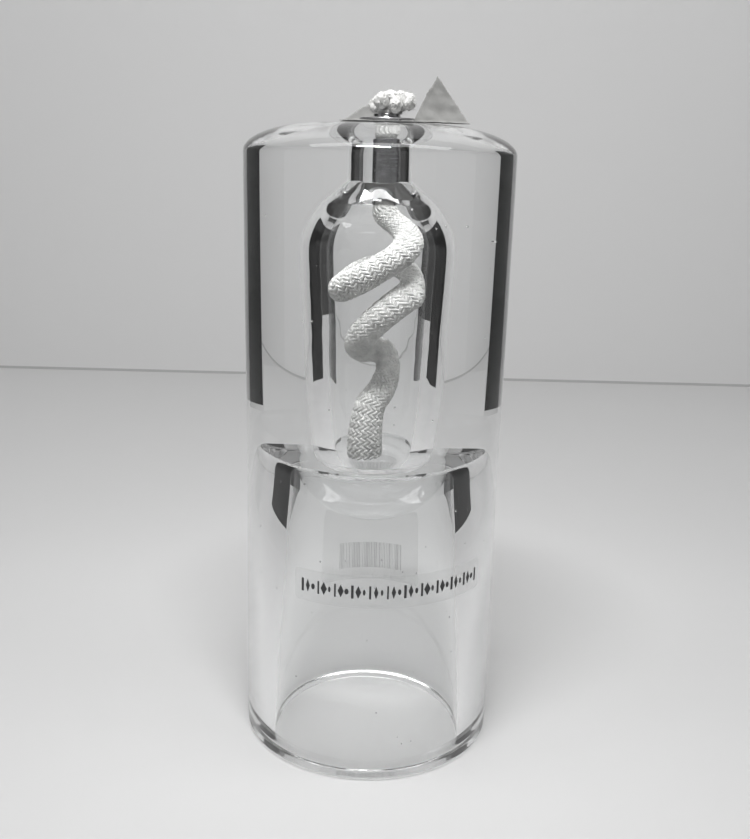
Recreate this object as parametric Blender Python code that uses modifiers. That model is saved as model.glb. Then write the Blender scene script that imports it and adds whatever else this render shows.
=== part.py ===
"""Solid-glass oil lamp: a heavy clear cylinder with a bottle-shaped oil reservoir blown into its upper half and an
open hollow foot below, a coiled fibre wick, a flanged steel wick holder, a torn paper collar and two stuck-on labels.

Metres, +Z up. The origin is the centre of the ring that the lamp stands on, and -Y is the front.
"""

import math

import bmesh
import bpy
import numpy as np
from mathutils import Vector

# ---- driving dimensions ------------------------------------------------------------------------
MM = 0.001
GAP = 0.3 * MM  # clearance between pieces that touch

HEIGHT = 156.3 * MM
BODY_RADIUS = 32.5 * MM
WAIST_RADIUS = 32.2 * MM  # the drawn cylinder is a hair slimmer at mid height
WAIST_HEIGHT = 75 * MM
SHOULDER_WIDTH = 20 * MM  # the top is a low dome that rolls over into the side
SHOULDER_HEIGHT = 7 * MM
FOOT_EDGE = 1.2 * MM

BORE_RADIUS = 5.0 * MM
BORE_BOTTOM = 143.5 * MM
BELLY_RADIUS = 12.65 * MM
BELLY_HEIGHT = 126 * MM
RESERVOIR_FLOOR = 73.5 * MM

FOOT_MOUTH_RADIUS = 24.6 * MM  # inside of the standing ring
CREST_RADIUS = 19.7 * MM  # top of the foot hollow
CREST_HEIGHT = 76.3 * MM
BULGE_RADIUS = 18.3 * MM  # glass dome that hangs into the foot hollow
BULGE_BOTTOM = 60 * MM
BULGE_DEPTH = 14.4 * MM

TURNED_SIDES = 48

HOLDER_OFFSET = 1.4 * MM  # the holder leans against the +X side of the bore
TUBE_RADIUS = 3.2 * MM
TUBE_WALL = 0.35 * MM
TUBE_BOTTOM = 141.6 * MM
TUBE_TOP = 158.5 * MM
FLANGE_RADIUS = 6.6 * MM
FLANGE_THICKNESS = 0.4 * MM

PAPER_THICKNESS = 0.25 * MM
PAPER_BASE = HEIGHT + GAP
FLANGE_BASE = PAPER_BASE + PAPER_THICKNESS + GAP

WICK_RADIUS = 3.2 * MM
WICK_END_RADIUS = 4.0 * MM  # frayed wider at its free end
WICK_FRAY = 10 * MM
WICK_STEM_RADIUS = TUBE_RADIUS - TUBE_WALL - GAP  # squeezed where it passes through the tube
TUFT_RADIUS = 5.1 * MM
TUFT_HEIGHT = 5.8 * MM
WICK_POINT_SPACING = 2.4 * MM

LABEL_THICKNESS = 0.2 * MM
FRONT_LABEL_Z = (46.5 * MM, 54.6 * MM)
FRONT_LABEL_ANGLES = (-33.0, 56.0)  # degrees from -Y, towards +X
BACK_LABEL_Z = (30.5 * MM, 54.0 * MM)
BACK_LABEL_HALF_ANGLE = 35.0

# The wick's centre line inside the reservoir, from the tube's lower end to its free end, in millimetres.
WICK_ROUTE = [
    (1.4, 0.0, 140.9),
    (1.4, 0.0, 139.0),
    (3.0, -0.6, 136.8),
    (5.4, -2.4, 134.2),
    (6.6, -4.8, 130.8),
    (4.8, -7.2, 127.4),
    (1.4, -8.5, 124.6),
    (-2.4, -8.4, 121.8),
    (-6.0, -6.6, 119.4),
    (-8.3, -3.2, 118.2),
    (-8.9, 1.0, 118.2),
    (-6.8, 5.8, 119.8),
    (-1.5, 8.8, 122.2),
    (4.8, 7.6, 122.8),
    (8.2, 3.8, 121.6),
    (9.0, -1.0, 119.8),
    (7.4, -5.0, 117.8),
    (4.4, -7.6, 115.8),
    (0.8, -8.2, 112.4),
    (-2.4, -7.0, 108.4),
    (-3.8, -4.2, 105.2),
    (-3.2, -0.4, 103.4),
    (-0.6, 2.6, 102.8),
    (2.8, 3.0, 101.2),
    (3.4, 1.4, 97.6),
    (1.8, -1.4, 93.8),
    (-0.8, -3.6, 90.2),
    (-1.6, -4.4, 86.2),
    (-1.9, -4.6, 82.0),
    (-1.8, -4.5, 77.8),
]

# Materials: base colour, roughness, metallic, transmission.
GLASS = ("clear_glass", (0.93, 0.94, 0.94), 0.02, 0.0, 1.0)
FILM = ("label_film", (0.82, 0.83, 0.83), 0.35, 0.0, 0.0)
STICKER = ("label_paper", (0.70, 0.71, 0.71), 0.55, 0.0, 0.0)
STEEL = ("holder_steel", (0.55, 0.55, 0.56), 0.22, 1.0, 0.0)
PAPER = ("collar_paper", (0.36, 0.36, 0.36), 0.80, 0.0, 0.0)
FIBRE = ("wick_fibre", (0.90, 0.90, 0.88), 0.75, 0.0, 0.0)


# ---- helpers -----------------------------------------------------------------------------------
def clear_scene():
    for thing in list(bpy.data.objects):
        bpy.data.objects.remove(thing, do_unlink=True)


def collection(name):
    new = bpy.data.collections.new(name)
    bpy.context.scene.collection.children.link(new)
    return new


def material(finish):
    name, colour, roughness, metallic, transmission = finish
    mat = bpy.data.materials.get(name)
    if mat is None:
        mat = bpy.data.materials.new(name)
        mat.use_nodes = True
        shader = mat.node_tree.nodes["Principled BSDF"]
        shader.inputs["Base Color"].default_value = (*colour, 1.0)
        shader.inputs["Roughness"].default_value = roughness
        shader.inputs["Metallic"].default_value = metallic
        shader.inputs["Transmission Weight"].default_value = transmission
    return mat


def add_object(name, data, finish, parent):
    thing = bpy.data.objects.new(name, data)
    thing.data.materials.append(material(finish))
    lamp.objects.link(thing)
    thing.parent = parent
    return thing


def add_empty(name, at, parent=None):
    empty = bpy.data.objects.new(name, None)
    empty.location = at
    empty.empty_display_size = 0.01
    lamp.objects.link(empty)
    empty.parent = parent
    return empty


def arc(centre, radii, start, end, steps):
    """Points on an ellipse's arc in the (radius, height) plane; angles in degrees, 0 pointing outwards."""
    turns = np.radians(np.linspace(start, end, steps + 1))
    return [(centre[0] + radii[0] * math.cos(t), centre[1] + radii[1] * math.sin(t)) for t in turns]


def smooth_line(knots, per_span):
    """A Catmull-Rom curve through the knots, per_span points to each span."""
    knots = np.array(knots, float)
    padded = np.vstack([2 * knots[0] - knots[1], knots, 2 * knots[-1] - knots[-2]])
    points = []
    for i in range(1, len(padded) - 2):
        before, here, there, after = padded[i - 1 : i + 3]
        for t in np.arange(per_span) / per_span:
            ahead = (there - before) * t
            bend = (2 * before - 5 * here + 4 * there - after) * t**2
            turn = (3 * here - 3 * there + after - before) * t**3
            points.append(here + 0.5 * (ahead + bend + turn))
    points.append(knots[-1])
    return [tuple(p) for p in points]


def even_line(points, spacing):
    """The same line with points an equal distance apart."""
    points = np.array(points)
    along = np.concatenate([[0.0], np.cumsum(np.linalg.norm(np.diff(points, axis=0), axis=1))])
    at = np.linspace(0.0, along[-1], round(along[-1] / spacing) + 1)
    return np.stack([np.interp(at, along, points[:, k]) for k in range(3)], axis=1)


def profile_mesh(name, profile, closed=False):
    mesh = bpy.data.meshes.new(name)
    edges = [(i, i + 1) for i in range(len(profile) - 1)]
    if closed:
        edges.append((len(profile) - 1, 0))
    mesh.from_pydata([(r, 0.0, z) for r, z in profile], edges, [])
    return mesh


def turn(thing, degrees=360.0, steps=TURNED_SIDES):
    screw = thing.modifiers.new("turned", "SCREW")
    screw.axis = "Z"
    screw.angle = math.radians(degrees)
    screw.steps = steps
    screw.render_steps = steps
    screw.use_merge_vertices = degrees == 360.0
    screw.merge_threshold = 0.00001
    screw.use_smooth_shade = True
    return screw


def outline_mesh(name, outlines, thickness):
    """A flat plate from closed outlines in the XY plane, the second and later ones being holes."""
    curve = bpy.data.curves.new(name, "CURVE")
    curve.dimensions = "2D"
    curve.fill_mode = "BOTH"
    curve.extrude = thickness / 2
    for outline in outlines:
        spline = curve.splines.new("POLY")
        spline.points.add(len(outline) - 1)
        for point, (x, y) in zip(spline.points, outline):
            point.co = (x, y, 0.0, 1.0)
        spline.use_cyclic_u = True
    plate = bpy.data.objects.new(name + "_outline", curve)
    bpy.context.scene.collection.objects.link(plate)
    graph = bpy.context.evaluated_depsgraph_get()
    mesh = bpy.data.meshes.new_from_object(plate.evaluated_get(graph))
    bpy.data.objects.remove(plate)
    bpy.data.curves.remove(curve)
    shell = bmesh.new()
    shell.from_mesh(mesh)
    bmesh.ops.remove_doubles(shell, verts=shell.verts, dist=0.000005)
    bmesh.ops.recalc_face_normals(shell, faces=shell.faces)
    shell.to_mesh(mesh)
    shell.free()
    mesh.name = name
    return mesh


# ---- the pieces --------------------------------------------------------------------------------
def glass_profile():
    """Half section of the glass: reservoir floor, up to the bore, over the top, down the side, up the foot hollow."""
    belly = [
        (9.3 * MM, 75.6 * MM),
        (10.2 * MM, 79.5 * MM),
        (11.2 * MM, 90 * MM),
        (11.65 * MM, 100 * MM),
        (11.95 * MM, 109 * MM),
        (12.35 * MM, 118 * MM),
        (BELLY_RADIUS, BELLY_HEIGHT),
        (12.3 * MM, 130.5 * MM),
        (11.2 * MM, 134.4 * MM),
        (9.2 * MM, 138.4 * MM),
    ]
    reservoir = [(0.0, RESERVOIR_FLOOR), (4 * MM, RESERVOIR_FLOOR + 0.1 * MM), (8 * MM, RESERVOIR_FLOOR + 0.7 * MM)]
    reservoir += smooth_line(belly, 3)
    reservoir += [(BORE_RADIUS + 0.4 * MM, BORE_BOTTOM - 0.9 * MM), (BORE_RADIUS, BORE_BOTTOM)]
    mouth = [(BORE_RADIUS, HEIGHT - 0.5 * MM), (BORE_RADIUS + 0.5 * MM, HEIGHT)]
    shoulder = arc(
        (BODY_RADIUS - SHOULDER_WIDTH, HEIGHT - SHOULDER_HEIGHT), (SHOULDER_WIDTH, SHOULDER_HEIGHT), 90, 0, 10
    )
    side = [
        (BODY_RADIUS - 0.1 * MM, 110 * MM),
        (WAIST_RADIUS, WAIST_HEIGHT),
        (WAIST_RADIUS + 0.2 * MM, 45 * MM),
        (BODY_RADIUS, 18 * MM),
    ]
    edge = arc((BODY_RADIUS - FOOT_EDGE, FOOT_EDGE), (FOOT_EDGE, FOOT_EDGE), 0, -90, 3)
    hollow = [
        (FOOT_MOUTH_RADIUS + 0.6 * MM, 0.0),
        (FOOT_MOUTH_RADIUS, 0.6 * MM),
        (24.0 * MM, 14 * MM),
        (22.8 * MM, 34 * MM),
        (21.4 * MM, 54 * MM),
        (20.2 * MM, 68 * MM),
        (CREST_RADIUS, 73.6 * MM),
        (CREST_RADIUS - 0.5 * MM, 75.6 * MM),
        (CREST_RADIUS - 1.1 * MM, CREST_HEIGHT),
        (BULGE_RADIUS + 0.1 * MM, 75.4 * MM),
    ]
    bulge = arc((0.0, BULGE_BOTTOM + BULGE_DEPTH), (BULGE_RADIUS, BULGE_DEPTH), 0, -90, 12)
    bulge[-1] = (0.0, BULGE_BOTTOM)
    return reservoir + mouth + shoulder + side + edge + hollow + bulge


def make_glass_body():
    glass = add_object("glass_body", profile_mesh("glass_body", glass_profile()), GLASS, None)
    turn(glass)
    return glass


def make_label(name, heights, angles, finish, glass_radius, steps):
    """A thin strip that wraps the glass between two angles, given in degrees from +X."""
    inside = glass_radius + GAP
    top_down = [(inside, heights[1]), (inside, heights[0])]
    label = add_object(name, profile_mesh(name, top_down), finish, None)
    label.rotation_euler.z = math.radians(angles[0])
    turn(label, angles[1] - angles[0], steps)
    sheet = label.modifiers.new("sheet", "SOLIDIFY")
    sheet.thickness = LABEL_THICKNESS
    sheet.offset = 1.0
    return label


def make_wick_holder(parent):
    """A thin steel eyelet: a tube with a flat flange that bridges the bore's mouth."""
    inner = TUBE_RADIUS - TUBE_WALL
    flange_top = FLANGE_BASE + FLANGE_THICKNESS
    section = [
        (inner, TUBE_TOP),
        (TUBE_RADIUS, TUBE_TOP),
        (TUBE_RADIUS, flange_top),
        (FLANGE_RADIUS, flange_top),
        (FLANGE_RADIUS, FLANGE_BASE),
        (TUBE_RADIUS, FLANGE_BASE),
        (TUBE_RADIUS, TUBE_BOTTOM),
        (inner, TUBE_BOTTOM),
    ]
    section = [(r, z - HEIGHT) for r, z in section]
    holder = add_object("wick_holder", profile_mesh("wick_holder", section, closed=True), STEEL, parent)
    turn(holder, steps=32)
    return holder


def make_paper_collar(parent):
    """A torn scrap of paper that the tube goes through, with two corners standing up."""
    hole_radius = TUBE_RADIUS + GAP
    turns = [2 * math.pi * i / 24 for i in range(24)]
    hole = [(hole_radius * math.cos(t), hole_radius * math.sin(t)) for t in turns]
    scrap = [(-11.0, -5.6), (-6.4, -9.6), (0.8, -8.4), (8.6, -9.2), (14.6, -5.4), (19.0, -0.5), (20.2, 5.2)]
    scrap += [(13.0, 6.4), (8.4, 9.4), (-0.4, 9.4), (-4.8, 8.6), (-11.6, 9.0), (-9.4, 1.2)]
    scrap = [(x * MM, y * MM) for x, y in scrap]
    corner = [(6.2, -0.1), (19.9, -0.1), (11.9, 11.0), (11.1, 9.6), (9.3, 7.0), (9.2, 6.4), (8.0, 4.1), (6.9, 1.6)]
    corner = [(x * MM, y * MM) for x, y in corner]
    ear = [(-11.2, -0.1), (-0.2, -0.1), (-1.2, 3.6), (-3.8, 5.0)]
    ear = [(x * MM, y * MM) for x, y in ear]
    mesh = outline_mesh("paper_collar", [scrap, hole], PAPER_THICKNESS)
    collar = add_object("paper_collar", mesh, PAPER, parent)
    collar.location.z = PAPER_BASE + PAPER_THICKNESS / 2 - HEIGHT
    for name, outline, fold_y, lean in (("corner", corner, 4.6 * MM, 84.0), ("ear", ear, 7.4 * MM, 80.0)):
        flap = bpy.data.objects.new(name + "_flap", outline_mesh(name, [outline], PAPER_THICKNESS))
        cutters.objects.link(flap)
        flap.parent = collar
        flap.location.y = fold_y
        flap.rotation_euler.x = math.radians(lean)
        flap.hide_render = True
        flap.display_type = "WIRE"
        join = collar.modifiers.new(name, "BOOLEAN")
        join.operation = "UNION"
        join.object = flap
    return collar


def make_wick_tuft(parent):
    """The wick's upper end: a stem squeezed inside the tube, fanned out into a soft tuft above it."""
    foot = TUBE_BOTTOM + GAP
    seat = TUBE_TOP + GAP
    middle = seat + TUFT_HEIGHT / 2
    section = [(0.0, seat + TUFT_HEIGHT)]
    section += arc((0.0, middle), (TUFT_RADIUS, TUFT_HEIGHT / 2), 75, -70, 10)
    section += [(WICK_STEM_RADIUS, seat), (WICK_STEM_RADIUS, foot), (0.0, foot)]
    section = [(r, z - HEIGHT) for r, z in section]
    tuft = add_object("wick_tuft", profile_mesh("wick_tuft", section), FIBRE, parent)
    turn(tuft, steps=24)
    return tuft


def make_wick_coil():
    """The thick limp wick, coiled down inside the reservoir to its free end."""
    knots = [tuple(value * MM for value in point) for point in WICK_ROUTE]
    line = even_line(smooth_line(knots, 12), WICK_POINT_SPACING)
    curve = bpy.data.curves.new("wick_coil", "CURVE")
    curve.dimensions = "3D"
    curve.bevel_depth = WICK_RADIUS
    curve.bevel_resolution = 3
    curve.use_fill_caps = True
    spline = curve.splines.new("POLY")
    spline.points.add(len(line) - 1)
    along = np.arange(len(line)) * WICK_POINT_SPACING
    for point, place, left in zip(spline.points, line, along[-1] - along):
        point.co = (*place, 1.0)
        fray = max(0.0, 1 - left / WICK_FRAY)
        point.radius = 1 + fray * (WICK_END_RADIUS / WICK_RADIUS - 1)
    return add_object("wick_coil", curve, FIBRE, None)


def main():
    make_glass_body()
    facing = -90.0
    front = [facing + angle for angle in FRONT_LABEL_ANGLES]
    make_label("front_label", FRONT_LABEL_Z, front, FILM, WAIST_RADIUS + 0.2 * MM, 24)
    back = [90.0 - BACK_LABEL_HALF_ANGLE, 90.0 + BACK_LABEL_HALF_ANGLE]
    make_label("back_label", BACK_LABEL_Z, back, STICKER, WAIST_RADIUS + 0.2 * MM, 18)
    holder_axis = add_empty("wick_holder_axis", (HOLDER_OFFSET, 0.0, HEIGHT))
    wick_axis = add_empty("wick_axis", Vector((0.0, 0.0, 0.0)), holder_axis)
    make_wick_holder(holder_axis)
    make_paper_collar(holder_axis)
    make_wick_tuft(wick_axis)
    make_wick_coil()


clear_scene()
lamp = collection("oil_lamp")
cutters = collection("cutters")
main()
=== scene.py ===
"""A hand-made solid-glass oil lamp with a coiled fibre wick, laid out as an add-on and run as a script.

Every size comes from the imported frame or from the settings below. Metres, +Z up, -Y is the front.
"""

import math

import bmesh
import bpy
import numpy as np
from bpy.props import FloatProperty, FloatVectorProperty, IntProperty, PointerProperty
from mathutils import Matrix, Vector, geometry, noise


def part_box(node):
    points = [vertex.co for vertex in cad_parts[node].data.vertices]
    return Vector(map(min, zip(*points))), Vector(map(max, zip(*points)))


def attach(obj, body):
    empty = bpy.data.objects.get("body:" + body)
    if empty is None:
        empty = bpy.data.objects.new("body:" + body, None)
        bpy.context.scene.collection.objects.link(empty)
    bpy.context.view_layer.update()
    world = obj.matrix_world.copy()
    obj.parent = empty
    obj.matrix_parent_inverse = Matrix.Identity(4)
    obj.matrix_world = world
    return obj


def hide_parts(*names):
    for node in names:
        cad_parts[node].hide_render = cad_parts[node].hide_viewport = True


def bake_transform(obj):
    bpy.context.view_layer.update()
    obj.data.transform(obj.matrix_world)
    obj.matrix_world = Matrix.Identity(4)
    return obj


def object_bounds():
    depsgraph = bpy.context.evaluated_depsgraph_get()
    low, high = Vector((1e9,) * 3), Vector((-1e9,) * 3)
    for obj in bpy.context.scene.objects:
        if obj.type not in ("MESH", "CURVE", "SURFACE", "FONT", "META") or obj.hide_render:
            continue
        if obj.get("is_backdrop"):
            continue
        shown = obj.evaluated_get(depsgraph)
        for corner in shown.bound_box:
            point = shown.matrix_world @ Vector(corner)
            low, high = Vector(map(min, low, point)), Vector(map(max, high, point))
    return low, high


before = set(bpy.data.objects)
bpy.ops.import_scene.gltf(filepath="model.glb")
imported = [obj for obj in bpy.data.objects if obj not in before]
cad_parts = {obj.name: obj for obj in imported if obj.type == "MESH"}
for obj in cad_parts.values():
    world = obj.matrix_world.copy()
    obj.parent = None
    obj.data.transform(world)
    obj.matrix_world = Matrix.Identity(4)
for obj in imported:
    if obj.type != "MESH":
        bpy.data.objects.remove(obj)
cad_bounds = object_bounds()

bl_info = {
    "name": "Glass Oil Lamp",
    "version": (1, 0, 0),
    "blender": (4, 5, 0),
    "location": "View3D > Sidebar > Oil Lamp",
    "description": "Builds a solid-glass oil lamp with its wick, holder, paper collar and labels",
    "category": "Add Mesh",
}

MM = 0.001
TURN = 2 * math.pi
HELD_LENGTH = 7.5 * MM  # of the lower wick, inside the tube
FRAY_LENGTH = 24 * MM  # over which the wick's lower end opens out
HOLE_RADIUS = 3.6  # of the hole in the paper, in millimetres
LABEL_LIFT = 0.04 * MM  # of a label's face inside the glass's widest radius
CAMERA_PITCH = 15.34
CAMERA_ROLL = 1.45
CAMERA_ASIDE = 0.011  # of the glass's radius
FOCAL_LENGTH = 1000 * 36.0 / 839

# ---- places read from the frame ----------------------------------------------------------------
GLASS_LOW, GLASS_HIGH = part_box("glass_body")
HOLDER_LOW, HOLDER_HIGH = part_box("wick_holder")
TUFT_LOW, TUFT_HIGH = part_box("wick_tuft")
PAPER_LOW, PAPER_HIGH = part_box("paper_collar")
FRONT_LOW, FRONT_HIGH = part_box("front_label")
BACK_LOW, BACK_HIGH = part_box("back_label")

BODY_RADIUS = (GLASS_HIGH.x - GLASS_LOW.x) / 2
BODY_HEIGHT = GLASS_HIGH.z
HOLDER_X = (HOLDER_LOW.x + HOLDER_HIGH.x) / 2
FLANGE_RADIUS = (HOLDER_HIGH.x - HOLDER_LOW.x) / 2
TUBE_BOTTOM = HOLDER_LOW.z
TUBE_TOP = HOLDER_HIGH.z
LABEL_RADIUS = -FRONT_LOW.y

# The wick's centre line below the tube, in millimetres, as the frame's own wick has it.
WICK_ROUTE = [
    (1.4, 0.0, 140.9),
    (1.4, 0.0, 139.0),
    (3.0, -0.6, 136.8),
    (5.4, -2.4, 134.2),
    (6.6, -4.8, 130.8),
    (4.8, -7.2, 127.4),
    (1.4, -8.5, 124.6),
    (-2.4, -8.4, 121.8),
    (-6.0, -6.6, 119.4),
    (-8.3, -3.2, 118.2),
    (-8.9, 1.0, 118.2),
    (-6.8, 5.8, 119.8),
    (-1.5, 8.8, 122.2),
    (4.8, 7.6, 122.8),
    (8.2, 3.8, 121.6),
    (9.0, -1.0, 119.8),
    (7.4, -5.0, 117.8),
    (4.4, -7.6, 115.8),
    (0.8, -8.2, 112.4),
    (-2.4, -7.0, 108.4),
    (-3.8, -4.2, 105.2),
    (-3.2, -0.4, 103.4),
    (-0.6, 2.6, 102.8),
    (2.8, 3.0, 101.2),
    (3.4, 1.4, 97.6),
    (1.8, -1.4, 93.8),
    (-0.8, -3.6, 90.2),
    (-1.6, -4.4, 86.2),
    (-1.9, -4.6, 82.0),
    (-1.8, -4.5, 77.8),
]


# ---- settings ----------------------------------------------------------------------------------
def length(name, text, value):
    return FloatProperty(name=name, description=text, default=value, subtype="DISTANCE", unit="LENGTH")


def colour(name, text, value):
    limits = {"min": 0, "max": 1, "size": 3}
    return FloatVectorProperty(name=name, description=text, default=value, subtype="COLOR", **limits)


class GlassSettings(bpy.types.PropertyGroup):
    """Sizes and tints of the glass."""

    radius: length("Radius", "Outer radius of the cylinder", BODY_RADIUS)
    height: length("Height", "Height of the cylinder", BODY_HEIGHT)
    shoulder: length("Shoulder", "Height of the domed top edge", 7 * MM)
    dome: length("Dome", "Width of the domed top edge", 20 * MM)
    belly: length("Belly", "Widest radius of the oil reservoir", 12.65 * MM)
    bore: length("Bore", "Radius of the filling bore", 5 * MM)
    crest: length("Crest", "Radius of the foot hollow at its top", 19.7 * MM)
    mouth: length("Mouth", "Radius of the foot hollow at the table", 24.6 * MM)
    ripple: length("Ripple", "Height of the hand-worked ripples inside", 0.12 * MM)
    tint: colour("Tint", "Colour of the glass", (0.975, 0.98, 0.98))
    seeds: IntProperty(name="Seeds", description="Small bubbles and specks in the glass", default=70, min=0)
    segments: IntProperty(name="Segments", description="Faces round the cylinder", default=256, min=32)


class WickSettings(bpy.types.PropertyGroup):
    """Sizes of the braided wick."""

    radius: length("Radius", "Radius of the loose wick", 3.2 * MM)
    squeezed: length("Squeezed", "Radius of the wick inside its tube", 2.5 * MM)
    yarn: length("Yarn", "Radius of one yarn", 0.34 * MM)
    pitch: length("Pitch", "Length of one turn of a yarn", 16 * MM)
    yarns: IntProperty(name="Yarns", description="Yarns that run each way", default=18, min=4)
    lobes: IntProperty(name="Lobes", description="Fluffed ends round the tuft", default=7, min=3)
    hairs: IntProperty(name="Hairs", description="Stray fibres on the tuft", default=900, min=0)
    colour: colour("Colour", "Colour of the fibre", (0.76, 0.76, 0.745))


class FittingSettings(bpy.types.PropertyGroup):
    """Sizes and colours of the holder, the paper and the labels."""

    tube_wall: length("Tube wall", "Wall of the steel tube", 0.3 * MM)
    tube_radius: length("Tube radius", "Outer radius of the steel tube", 3.2 * MM)
    steel: colour("Steel", "Colour of the holder", (0.50, 0.50, 0.51))
    # painted shade: the paper's colour is set darker than the paper's own grey, to stand in for the shade on
    # the faces of its upright corners
    paper: colour("Paper", "Colour of the torn paper", (0.20, 0.20, 0.195))
    paper_thickness: length("Paper thickness", "Thickness of the torn paper", 0.12 * MM)
    film: colour("Film", "Colour of the film label", (0.78, 0.79, 0.79))
    ink: colour("Ink", "Colour of the print", (0.02, 0.02, 0.022))
    sticker: colour("Sticker", "Colour of the paper sticker", (0.74, 0.745, 0.74))


class StageSettings(bpy.types.PropertyGroup):
    """The table, the walls round it, the lights and the camera."""

    floor: colour("Table", "Colour of the table", (0.62, 0.62, 0.62))
    wall: colour("Wall", "Colour of the walls", (0.76, 0.76, 0.76))
    back: length("Back wall", "Distance of the back wall", 0.413)
    side: length("Side walls", "Distance of the side walls", 0.80)
    card_distance: length("Cards", "Distance of the dark cards", 0.335)
    card_height: length("Card height", "Height of the dark cards", 0.34)
    camera_distance: length("Camera distance", "Distance of the camera from the lamp's axis", 0.2468)
    camera_height: length("Camera height", "Height of the camera", 0.1513)
    key: FloatProperty(name="Key", description="Power of the overhead strip", default=0.62, min=0)
    fill: FloatProperty(name="Fill", description="Power of the soft ceiling", default=0.2, min=0)
    front: FloatProperty(name="Front", description="Power of the soft light on the wall", default=4.6, min=0)
    room: FloatProperty(name="Room", description="Strength of the light all round", default=1.2, min=0)


# ---- node helpers ------------------------------------------------------------------------------
class Value:
    """A number from a node, which Python's operators can be used on."""

    def __init__(self, graph, socket):
        self.graph = graph
        self.socket = socket

    def math(self, operation, *others):
        return self.graph.add("ShaderNodeMath", {"operation": operation}, self, *others).value()

    def __add__(self, other):
        return self.math("ADD", other)

    def __sub__(self, other):
        return self.math("SUBTRACT", other)

    def __rsub__(self, other):
        return self.graph.add("ShaderNodeMath", {"operation": "SUBTRACT"}, other, self).value()

    def __mul__(self, other):
        return self.math("MULTIPLY", other)

    def __truediv__(self, other):
        return self.math("DIVIDE", other)

    def __gt__(self, other):
        return self.math("GREATER_THAN", other)

    def __lt__(self, other):
        return self.math("LESS_THAN", other)

    __radd__ = __add__
    __rmul__ = __mul__


class Added:
    """A node that was just added, with its outputs by name."""

    def __init__(self, graph, node):
        self.graph = graph
        self.node = node

    def value(self, name=0):
        return Value(self.graph, self.node.outputs[name])

    def out(self, name=0):
        return self.node.outputs[name]


class Graph:
    """A node tree that is being built."""

    def __init__(self, tree):
        self.tree = tree

    def add(self, kind, settings=None, *inputs, **named):
        """Adds a node: its settings first, then its inputs in order or by name, each a value or a link."""
        node = self.tree.nodes.new(kind)
        for name, setting in (settings or {}).items():
            if name == "stops":
                self.set_stops(node.color_ramp, setting)
            else:
                setattr(node, name, setting)
        places = list(enumerate(inputs))
        places += [(name.replace("_", " "), given) for name, given in named.items()]
        for place, given in places:
            if given is None:
                continue
            socket = node.inputs[place]
            if isinstance(given, Value):
                given = given.socket
            if isinstance(given, Added):
                given = given.out()
            if isinstance(given, bpy.types.NodeSocket):
                self.tree.links.new(given, socket)
            else:
                socket.default_value = given
        return Added(self, node)

    @staticmethod
    def set_stops(ramp, stops):
        while len(ramp.elements) < len(stops):
            ramp.elements.new(0.5)
        for element, (place, shade) in zip(ramp.elements, stops):
            element.position = place
            element.color = (shade, shade, shade, 1.0)

    def vector(self, operation, *inputs, **named):
        return self.add("ShaderNodeVectorMath", {"operation": operation}, *inputs, **named).out()

    def xyz(self, *parts):
        return self.add("ShaderNodeCombineXYZ", None, *parts).out()

    def noise(self, vector, scale, detail=3.0, roughness=0.5):
        inputs = {"Vector": vector, "Scale": scale, "Detail": detail, "Roughness": roughness}
        return self.add("ShaderNodeTexNoise", None, **inputs).value("Fac")

    def ramp(self, factor, stops):
        return self.add("ShaderNodeValToRGB", {"stops": stops}, factor).value("Color")

    def tone(self, factor, dark, light):
        """A colour between two, each plain or a link, by a factor."""
        ends = [(*shade, 1) if isinstance(shade, tuple) else shade for shade in (dark, light)]
        return self.add("ShaderNodeMix", {"data_type": "RGBA"}, factor, *[None] * 5, *ends).out(2)


class Finish(Graph):
    """A Principled material that is being built."""

    def __init__(self, name, **constants):
        self.material = bpy.data.materials.new(name)
        self.material.use_nodes = True
        super().__init__(self.material.node_tree)
        self.shader = self.tree.nodes["Principled BSDF"]
        self.output = self.tree.nodes["Material Output"]
        for socket, given in constants.items():
            socket = socket.replace("_", " ")
            self.shader.inputs[socket].default_value = (*given, 1.0) if isinstance(given, tuple) else given

    def drive(self, socket, given):
        given = given.socket if isinstance(given, Value) else given
        self.tree.links.new(given, self.shader.inputs[socket])

    def place(self, scale=(1.0, 1.0, 1.0)):
        where = self.add("ShaderNodeTexCoord").out("Object")
        return self.add("ShaderNodeMapping", None, Vector=where, Scale=scale).out()

    def attribute(self, name):
        return self.add("ShaderNodeAttribute", {"attribute_name": name}).value("Fac")

    def bump(self, height, strength, distance):
        node = self.add("ShaderNodeBump", None, Strength=strength, Distance=distance, Height=height)
        self.tree.links.new(node.out("Normal"), self.shader.inputs["Normal"])

    def pass_light(self, factor, tint):
        """Mixes in a clear shader by a factor, on top of whatever is there."""
        clear = self.add("ShaderNodeBsdfTransparent", None, (*tint, 1.0))
        surface = self.output.inputs["Surface"].links[0].from_socket
        mixed = self.add("ShaderNodeMixShader", None, factor, surface, clear.out())
        self.tree.links.new(mixed.out(), self.output.inputs["Surface"])


# ---- shape helpers -----------------------------------------------------------------------------
def arc(centre, radii, start, end, steps):
    """Points on an ellipse's arc in the (radius, height) plane; angles in degrees, 0 pointing outwards."""
    turns = np.radians(np.linspace(start, end, steps + 1))
    return [(centre[0] + radii[0] * math.cos(t), centre[1] + radii[1] * math.sin(t)) for t in turns]


def smooth_line(knots, per_span):
    """A Catmull-Rom curve through the knots, per_span points to each span."""
    knots = np.array(knots, float)
    padded = np.vstack([2 * knots[0] - knots[1], knots, 2 * knots[-1] - knots[-2]])
    points = []
    for i in range(1, len(padded) - 2):
        before, here, there, after = padded[i - 1 : i + 3]
        for t in np.arange(per_span) / per_span:
            ahead = (there - before) * t
            bend = (2 * before - 5 * here + 4 * there - after) * t**2
            turn = (3 * here - 3 * there + after - before) * t**3
            points.append(here + 0.5 * (ahead + bend + turn))
    points.append(knots[-1])
    return [tuple(p) for p in points]


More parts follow.
